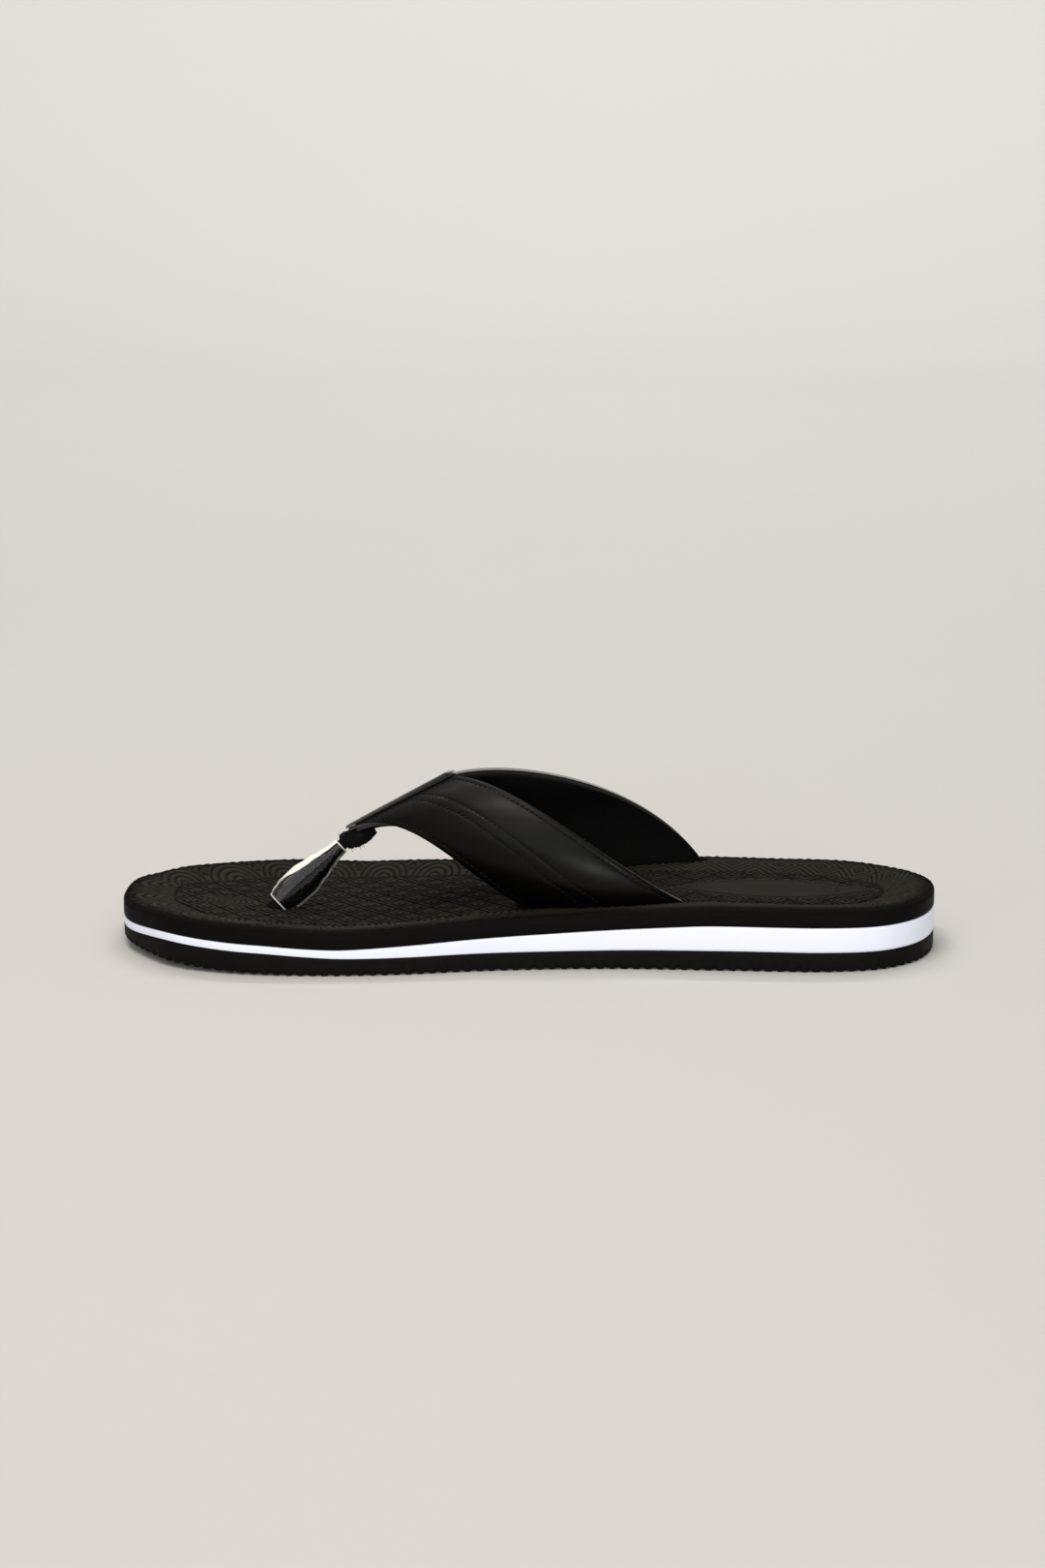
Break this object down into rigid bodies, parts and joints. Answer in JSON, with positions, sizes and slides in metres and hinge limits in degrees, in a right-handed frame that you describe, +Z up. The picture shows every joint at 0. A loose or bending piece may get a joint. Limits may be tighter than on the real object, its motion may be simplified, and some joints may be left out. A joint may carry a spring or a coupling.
{
  "type": "flip flop",
  "caption": "Thong sandal for the right foot: layered rubber and foam sole, contoured footbed, wide V strap and a toe post in a clear sleeve.",
  "frame": {"origin": "middle of the bounding box, on the ground under the sole", "axes": "+X from the toe to the heel, +Y to the outer side of the foot, +Z up"},
  "size_m": [0.284, 0.102, 0.0616],
  "materials": {
    "rubber": "matt moulded rubber with fine tread teeth",
    "foam": "white closed-cell foam, fine sanded side",
    "footbed": "black foam with a moulded relief pattern",
    "strap_leather": "satin black synthetic leather",
    "padding": "grey-brown foam interlining",
    "lining": "black knitted textile lining",
    "thread": "black sewing thread",
    "webbing": "black woven webbing",
    "clear_sleeve": "clear glossy soft plastic with yellowed edges"
  },
  "bodies": {
    "sandal": {"outsole": "rubber", "midsole": "foam", "footbed": "footbed", "medial_strap_outer": "strap_leather", "medial_strap_padding": "padding", "medial_strap_lining": "lining", "medial_front_stitching": "thread", "medial_rear_stitching": "thread", "medial_lower_centre_stitching": "thread", "medial_upper_centre_stitching": "thread", "lateral_strap_outer": "strap_leather", "lateral_strap_padding": "padding", "lateral_strap_lining": "lining", "lateral_front_stitching": "thread", "lateral_rear_stitching": "thread", "lateral_lower_centre_stitching": "thread", "lateral_upper_centre_stitching": "thread", "ridge_strip": "strap_leather", "toe_post_webbing": "webbing", "toe_post_anchor": "rubber"},
    "sleeve": {"toe_post_sleeve": "clear_sleeve"}
  },
  "joints": [
    {"name": "sleeve_slide", "type": "slide", "parent": "sandal", "child": "sleeve", "axis": [0.7249, 0.1956, 0.6605], "range_m": [0, 0.001]}
  ]
}
